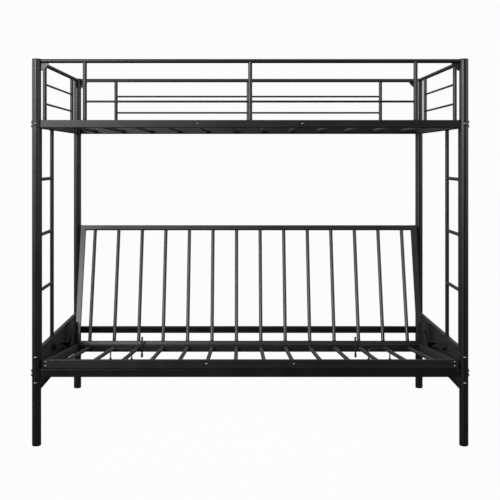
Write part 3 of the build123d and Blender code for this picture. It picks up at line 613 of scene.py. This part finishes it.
# %% [markdown]
# ## Bolts: helpers for their tree
# The bolts that hold the bed together are turned with a hexagon key. Their heads are low domes with a
# six-sided hole in the middle. The tree that makes them works out sizes from its inputs, so three helpers
# keep it readable: one to multiply, one for a vector and one for a move or a stretch.


# %% Products, vectors and moves
def product(tree, first, factor):
    """A socket's value times a number."""
    node = tree.nodes.new("ShaderNodeMath")
    node.operation = "MULTIPLY"
    tree.links.new(first, node.inputs[0])
    node.inputs[1].default_value = factor
    return node.outputs["Value"]


def vector(tree, x=None, y=None, z=None):
    """A vector whose given parts come from sockets, and the others are zero."""
    node = tree.nodes.new("ShaderNodeCombineXYZ")
    for index, part in enumerate((x, y, z)):
        if part is not None:
            tree.links.new(part, node.inputs[index])
    return node.outputs["Vector"]


def moved(tree, geometry, translation=None, scale=None):
    """The geometry after a move, a stretch or both."""
    node = tree.nodes.new("GeometryNodeTransform")
    tree.links.new(geometry, node.inputs["Geometry"])
    if translation is not None:
        tree.links.new(translation, node.inputs["Translation"])
    if scale is not None:
        tree.links.new(scale, node.inputs["Scale"])
    return node.outputs["Geometry"]


print("tree helpers: product, vector and moved")

# %% [markdown]
# ## Bolts: head and shank
# A flattened sphere gives the dome. A block four times as wide as the head's radius, with its top level
# with the seat, takes away the lower half, and a six-sided prism takes the socket out of the top: Mesh
# Boolean does both cuts at once. The shank is a plain cylinder.


# %% Bolt head and shank
dome_segments, dome_rings = 32, 16
key_sides = 6
shank_segments = 16


def bolt_head(tree, given):
    """A domed head with its flat side at the origin and a hexagon socket in its top."""
    ball = tree.nodes.new("GeometryNodeMeshUVSphere")
    ball.inputs["Segments"].default_value = dome_segments
    ball.inputs["Rings"].default_value = dome_rings
    ball.inputs["Radius"].default_value = 1.0
    wide, high = given["Head radius"], given["Head height"]
    dome = moved(tree, ball.outputs["Mesh"], scale=vector(tree, wide, wide, high))
    block = tree.nodes.new("GeometryNodeMeshCube")
    tree.links.new(vector(tree, *[product(tree, wide, 4)] * 3), block.inputs["Size"])
    block_below = moved(tree, block.outputs["Mesh"], translation=vector(tree, z=product(tree, wide, -2)))
    key = tree.nodes.new("GeometryNodeMeshCylinder")
    key.inputs["Vertices"].default_value = key_sides
    tree.links.new(given["Socket radius"], key.inputs["Radius"])
    tree.links.new(product(tree, given["Socket depth"], 2), key.inputs["Depth"])
    cut = tree.nodes.new("GeometryNodeMeshBoolean")
    cut.operation = "DIFFERENCE"
    cut.solver = "EXACT"
    tree.links.new(dome, cut.inputs["Mesh 1"])
    tree.links.new(block_below, cut.inputs["Mesh 2"])
    tree.links.new(moved(tree, key.outputs["Mesh"], translation=vector(tree, z=high)), cut.inputs["Mesh 2"])
    return cut.outputs["Mesh"]


def bolt_shank(tree, given):
    """A cylinder that reaches down from the origin."""
    shank = tree.nodes.new("GeometryNodeMeshCylinder")
    shank.inputs["Vertices"].default_value = shank_segments
    tree.links.new(given["Shank radius"], shank.inputs["Radius"])
    tree.links.new(given["Shank length"], shank.inputs["Depth"])
    middle = vector(tree, z=product(tree, given["Shank length"], -0.5))
    return moved(tree, shank.outputs["Mesh"], translation=middle)


print("bolt pieces: head and shank")

# %% [markdown]
# Joined, head and shank are the piece that is set on the points. The head has a sixfold shape, so a random
# turn of up to a sixth of a circle covers every way that a fitter can leave it.

# %% Bolt tree
bolt_inputs = [
    ("Head radius", "NodeSocketFloat"),
    ("Head height", "NodeSocketFloat"),
    ("Socket radius", "NodeSocketFloat"),
    ("Socket depth", "NodeSocketFloat"),
    ("Shank radius", "NodeSocketFloat"),
    ("Shank length", "NodeSocketFloat"),
    ("Seed", "NodeSocketInt"),
    ("Finish", "NodeSocketMaterial"),
]
socket_bolts, bolt_start, bolt_end = new_tree("socket bolts", bolt_inputs)
whole_bolt = socket_bolts.nodes.new("GeometryNodeJoinGeometry")
socket_bolts.links.new(bolt_head(socket_bolts, bolt_start.outputs), whole_bolt.inputs["Geometry"])
socket_bolts.links.new(bolt_shank(socket_bolts, bolt_start.outputs), whole_bolt.inputs["Geometry"])
place_on_points(socket_bolts, bolt_start, bolt_end, whole_bolt.outputs["Geometry"], math.pi / 3)
print("tree:", socket_bolts.name, "with", len(socket_bolts.nodes), "nodes")

# %% [markdown]
# ## Bolts: their sizes and places
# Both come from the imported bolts. Each is a solid of revolution, so its long direction is its axis, and its
# head is at the end where its corners lie furthest from that axis. The lowest corners of the head's rim lie
# on the seat, where the head meets the steel.


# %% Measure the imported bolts
rim_share = 0.99


def bolt_sizes(corners):
    """Seat point and outward direction of a bolt, radius and height of its head, radius and length below."""
    centre, direction = long_direction(corners)
    along = (corners - centre) @ direction
    off_axis = corners - centre - np.outer(along, direction)
    axis_point = centre + (off_axis.max(0) + off_axis.min(0)) / 2
    along = (corners - axis_point) @ direction
    distance = np.linalg.norm(corners - axis_point - np.outer(along, direction), axis=1)
    widest = along[distance.argmax()]
    if abs(widest - along.min()) < abs(widest - along.max()):
        direction, along = -direction, -along
    head_radius = distance.max()
    seat = along[distance > head_radius * rim_share].min()
    shank_radius = distance[along < along.min() + end_margin].max()
    sizes = head_radius, along.max() - seat, shank_radius, seat - along.min()
    return Vector(axis_point + direction * seat), Vector(direction), *sizes


first_bolt = bolt_sizes(solids("upper_rail_bolts")[0])
print("rail bolt in mm:", [round(float(size) * 1000, 2) for size in first_bolt[2:]])

# %% [markdown]
# Each row of packed bolts becomes one object of detailed ones. The seed differs from row to row, so that no
# two rows are turned alike.


# %% Place the bolts
socket_share = 0.42
socket_depth_share = 0.55


def bolt_group(name, node, body, seed):
    """Socket bolts in the places and sizes of a packed row of bolts, which they replace."""
    measured = [bolt_sizes(corners) for corners in solids(node)]
    head_radius, head_height, shank_radius, shank_length = [float(size) for size in measured[0][2:]]
    places = [(seat, outward) for seat, outward, *_ in measured]
    values = {
        "Head radius": head_radius,
        "Head height": head_height,
        "Socket radius": head_radius * socket_share,
        "Socket depth": head_height * socket_depth_share,
        "Shank radius": shank_radius,
        "Shank length": shank_length,
        "Seed": seed,
        "Finish": bolt_black,
    }
    group = run_tree(point_mesh(name, places), socket_bolts, values, body)
    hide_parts(node)


bolt_rows = [
    ("socket_bolts_upper_rails", "upper_rail_bolts", "root"),
    ("socket_bolts_end_rails", "end_rail_bolts", "root"),
    ("socket_bolts_stretchers", "stretcher_bolts", "root"),
    ("socket_bolts_side_panels", "side_panel_bolts", "root"),
    ("socket_bolts_upper_slats", "upper_slat_bolts", "root"),
    ("socket_bolts_seat_ends", "seat_end_bolts", "futon_seat"),
    ("socket_bolts_seat_slats", "seat_slat_bolts", "futon_seat"),
]
for seed, (name, node, body) in enumerate(bolt_rows, start=1):
    bolt_group(name, node, body, seed)

# %% [markdown]
# ## Floor
# The picture has a white ground without an edge. The floor is a large pale plane. A plain white diffuse
# floor would turn grey away from the lamp, so what the camera sees of it is mostly a white glow, with
# enough of the lit surface mixed in to keep the bed's soft shadow. Light bouncing off it still comes from
# the real surface. The background gets the same level as the open floor, so that no horizon shows.


# %% Floor
floor_size = 60
floor_albedo = 0.4
fill_level = 0.3
glow_share = 0.97
background_level = glow_share + (1 - glow_share) * floor_albedo * fill_level


def pale_floor():
    material, tree, shader = plain_shader("pale_floor", roughness=0.9, specular=0.0)
    shader.inputs["Base Color"].default_value = (floor_albedo, floor_albedo, floor_albedo, 1)
    path = tree.nodes.new("ShaderNodeLightPath")
    glow = tree.nodes.new("ShaderNodeEmission")
    glow.inputs["Strength"].default_value = 1.0
    share = tree.nodes.new("ShaderNodeMath")
    share.operation = "MULTIPLY"
    share.inputs[1].default_value = glow_share
    mixed = tree.nodes.new("ShaderNodeMixShader")
    link(tree, path, "Is Camera Ray", share, 0)
    link(tree, share, "Value", mixed, "Fac")
    link(tree, shader, "BSDF", mixed, 1)
    link(tree, glow, "Emission", mixed, 2)
    link(tree, mixed, "Shader", tree.nodes["Material Output"], "Surface")
    return material


bpy.ops.mesh.primitive_plane_add(size=floor_size, location=(0, 0, loaded_low.z))
floor = bpy.context.object
floor.name = "floor"
floor.data.materials.append(pale_floor())
floor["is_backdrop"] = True
print("floor at", round(loaded_low.z, 4), "m, background level", round(background_level, 3))

# %% [markdown]
# ## World
# The world is white to the camera, as in a white studio, and its diffuse light fills the shadows gently
# from all round. In reflections it is white behind the bed and dark on the side of the camera, where a
# studio is dark between its lamps, with a soft bright window on each side. The dot product of the ray with
# a window's direction says how near the ray comes to it, and Map Range turns that into a patch with a soft
# edge. Round tubes show the windows as long smooth highlights, the left one stronger, without the grain of
# small lamps.


# %% World
front_level = 0.2
turn_from_front = 0.4
window_heart, window_edge = 0.95, 0.5
windows = {
    "left": ((-0.85, -0.4, 0.4), 7.5),
    "right": ((0.85, -0.4, 0.4), 4.5),
}


def window(tree, place, direction, level):
    """A soft bright patch of the reflected room, brightest in the given direction."""
    nearness = tree.nodes.new("ShaderNodeVectorMath")
    nearness.operation = "DOT_PRODUCT"
    nearness.inputs[1].default_value = Vector(direction).normalized()
    patch = tree.nodes.new("ShaderNodeMapRange")
    patch.interpolation_type = "SMOOTHSTEP"
    patch.inputs["From Min"].default_value = window_edge
    patch.inputs["From Max"].default_value = window_heart
    patch.inputs["To Min"].default_value = 0.0
    patch.inputs["To Max"].default_value = level
    link(tree, place, "Generated", nearness, 0)
    link(tree, nearness, "Value", patch, "Value")
    return patch


def reflected_room(tree):
    """The level of reflections: white behind the bed, darker in front, and brighter at the windows."""
    place = tree.nodes.new("ShaderNodeTexCoord")
    parts = tree.nodes.new("ShaderNodeSeparateXYZ")
    room = tree.nodes.new("ShaderNodeMapRange")
    room.interpolation_type = "SMOOTHSTEP"
    room.inputs["From Min"].default_value = -turn_from_front
    room.inputs["From Max"].default_value = turn_from_front
    room.inputs["To Min"].default_value = front_level
    room.inputs["To Max"].default_value = background_level
    link(tree, place, "Generated", parts, "Vector")
    link(tree, parts, "Y", room, "Value")
    level = room.outputs["Result"]
    for direction, strength in windows.values():
        total = tree.nodes.new("ShaderNodeMath")
        total.operation = "ADD"
        tree.links.new(level, total.inputs[0])
        link(tree, window(tree, place, direction, strength), "Result", total, 1)
        level = total.outputs["Value"]
    return level


def white_room():
    world = bpy.data.worlds.new("white_room")
    world.use_nodes = True
    tree = world.node_tree
    soft = tree.nodes["Background"]
    soft.inputs["Strength"].default_value = fill_level
    mirrored = tree.nodes.new("ShaderNodeBackground")
    seen = tree.nodes.new("ShaderNodeBackground")
    seen.inputs["Strength"].default_value = background_level
    for light in (soft, mirrored, seen):
        light.inputs["Color"].default_value = (1, 1, 1, 1)
    tree.links.new(reflected_room(tree), mirrored.inputs["Strength"])
    path = tree.nodes.new("ShaderNodeLightPath")
    shiny = tree.nodes.new("ShaderNodeMixShader")
    link(tree, path, "Is Glossy Ray", shiny, "Fac")
    link(tree, soft, "Background", shiny, 1)
    link(tree, mirrored, "Background", shiny, 2)
    through = tree.nodes.new("ShaderNodeMath")
    through.operation = "MAXIMUM"
    link(tree, path, "Is Camera Ray", through, 0)
    link(tree, path, "Is Transmission Ray", through, 1)
    mixed = tree.nodes.new("ShaderNodeMixShader")
    link(tree, through, "Value", mixed, "Fac")
    link(tree, shiny, "Shader", mixed, 1)
    link(tree, seen, "Background", mixed, 2)
    link(tree, mixed, "Shader", tree.nodes["World Output"], "Surface")
    return world


bpy.context.scene.world = white_room()
print("fill level", fill_level, "and window levels", [strength for _, strength in windows.values()])

# %% [markdown]
# ## Key lamp
# The upper rail is brightest at the left, and everything fades towards the floor: that needs a lamp that is
# near, because a distant window looks the same from every piece of the bed. So one softbox stands at the
# left in front. Its grid narrows the beam, which keeps the light off the floor and the lower rails nearly
# black.


# %% Key lamp
beam_angle = 50
key_place = (-2.4, -4.8, 2.8)
key_target = (0, 0, 1.4)
key_width, key_height = 1.8, 1.2
key_power = 58


def softbox(name, place, target, width, height, power):
    """A rectangular softbox at place that faces target, with a grid that narrows its beam."""
    data = bpy.data.lights.new(name, "AREA")
    data.shape = "RECTANGLE"
    data.size, data.size_y = width, height
    data.spread = math.radians(beam_angle)
    data.energy = power
    lamp = bpy.data.objects.new(name, data)
    lamp.location = place
    lamp.rotation_mode = "QUATERNION"
    lamp.rotation_quaternion = (Vector(target) - Vector(place)).to_track_quat("-Z", "Y")
    bpy.context.scene.collection.objects.link(lamp)
    print(name, power, "W")


softbox("key_softbox", key_place, key_target, key_width, key_height, key_power)

# %% [markdown]
# ## Camera
# The photo is taken from the front at eye height, and its upright lines stay parallel although the bed sits
# low in the frame. So the camera is level and its lens is shifted down, as on a view camera, instead of
# tilted. The distance and focal length come from how much smaller the back posts look than the front ones.

# %% Camera
image_size = 500
focal_pixels = 887.4
axis_column, axis_row = 240.5, 157.9
front_of_posts = -0.506
camera_distance = 4.03
camera_side, camera_height = -0.044, 1.305
film_width = 36

camera_data = bpy.data.cameras.new("camera")
camera_data.sensor_width = film_width
camera_data.lens = focal_pixels / image_size * film_width
camera_data.shift_x = (image_size / 2 - axis_column) / image_size
camera_data.shift_y = (axis_row - image_size / 2) / image_size
camera = bpy.data.objects.new("camera", camera_data)
camera.location = (camera_side, front_of_posts - camera_distance, camera_height)
camera.rotation_euler = (math.pi / 2, 0, 0)
bpy.context.scene.collection.objects.link(camera)
bpy.context.scene.camera = camera
bpy.context.scene.view_settings.view_transform = "Standard"
print("lens in mm:", round(camera_data.lens, 1))
print("shift:", round(camera_data.shift_x, 3), round(camera_data.shift_y, 3))

# %% [markdown]
# ## Measure the size
# Nothing that was added may reach past the imported bed, so the box is measured before and after, and the
# growth past the imported bed is printed.

# %% Measure and finish
dressed_low, dressed_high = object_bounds()
growth = max(max(loaded_low - dressed_low), max(dressed_high - loaded_high))
print("growth past the packed bed in mm:", round(growth * 1000, 3))
